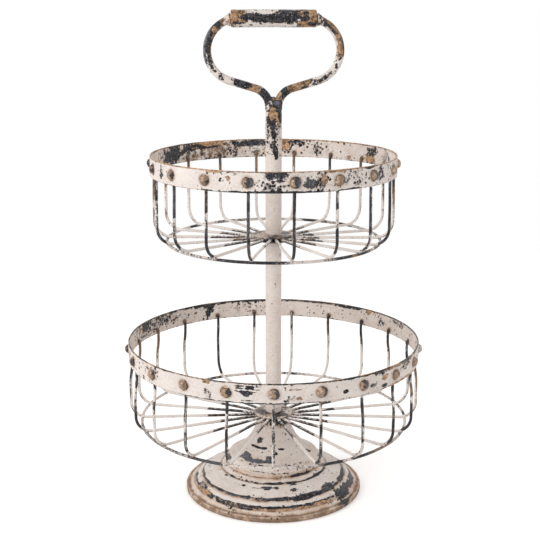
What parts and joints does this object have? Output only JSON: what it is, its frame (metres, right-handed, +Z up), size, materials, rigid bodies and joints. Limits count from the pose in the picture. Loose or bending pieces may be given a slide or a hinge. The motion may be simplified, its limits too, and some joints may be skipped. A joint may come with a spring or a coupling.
{
  "type": "tiered serving stand",
  "caption": "Two-tier serving stand: round wire baskets with riveted rim bands on a tube post, a spun bell foot and a loop carrying handle with a turning grip.",
  "frame": {"origin": "middle of the foot's underside, on the surface that the stand rests on", "axes": "+Z up along the post, +X along the handle's grip, the front towards -Y"},
  "size_m": [0.3582, 0.3572, 0.5811],
  "materials": {
    "cream_paint": "distressed matt",
    "worn_handle": "rubbed satin",
    "worn_rivet": "rubbed satin",
    "bare_steel": "zinc plated"
  },
  "bodies": {
    "stand": {"foot_shell": "cream_paint", "lower_post": "cream_paint", "upper_post": "cream_paint", "lower_band": "cream_paint", "upper_band": "cream_paint", "lower_wire_cage": "cream_paint", "upper_wire_cage": "cream_paint", "lower_floor_ring": "cream_paint", "upper_floor_ring": "cream_paint", "lower_hub_plate": "cream_paint", "upper_hub_plate": "cream_paint", "handle_rod": "worn_handle", "post_cap": "worn_handle", "tie_rod": "bare_steel", "foot_washer": "bare_steel", "foot_nut": "bare_steel", "upper_rivet_01": "worn_rivet", "upper_rivet_02": "worn_rivet", "upper_rivet_03": "worn_rivet", "upper_rivet_04": "worn_rivet", "upper_rivet_05": "worn_rivet", "upper_rivet_06": "worn_rivet", "upper_rivet_07": "worn_rivet", "upper_rivet_08": "worn_rivet", "upper_rivet_09": "worn_rivet", "upper_rivet_10": "worn_rivet", "upper_rivet_11": "worn_rivet", "upper_rivet_12": "worn_rivet", "upper_rivet_13": "worn_rivet", "upper_rivet_14": "worn_rivet", "upper_rivet_15": "worn_rivet", "upper_rivet_16": "worn_rivet", "upper_rivet_17": "worn_rivet", "upper_rivet_18": "worn_rivet", "lower_rivet_01": "worn_rivet", "lower_rivet_02": "worn_rivet", "lower_rivet_03": "worn_rivet", "lower_rivet_04": "worn_rivet", "lower_rivet_05": "worn_rivet", "lower_rivet_06": "worn_rivet", "lower_rivet_07": "worn_rivet", "lower_rivet_08": "worn_rivet", "lower_rivet_09": "worn_rivet", "lower_rivet_10": "worn_rivet", "lower_rivet_11": "worn_rivet", "lower_rivet_12": "worn_rivet", "lower_rivet_13": "worn_rivet", "lower_rivet_14": "worn_rivet", "lower_rivet_15": "worn_rivet", "lower_rivet_16": "worn_rivet", "lower_rivet_17": "worn_rivet", "lower_rivet_18": "worn_rivet", "lower_rivet_19": "worn_rivet", "lower_rivet_20": "worn_rivet", "lower_rivet_21": "worn_rivet"},
    "grip": {"handle_grip": "worn_handle"}
  },
  "joints": [
    {"name": "grip_spin", "type": "hinge", "parent": "stand", "child": "grip", "pos_m": [0, 0, 0.5711], "axis": [1, 0, 0], "continuous": true}
  ]
}
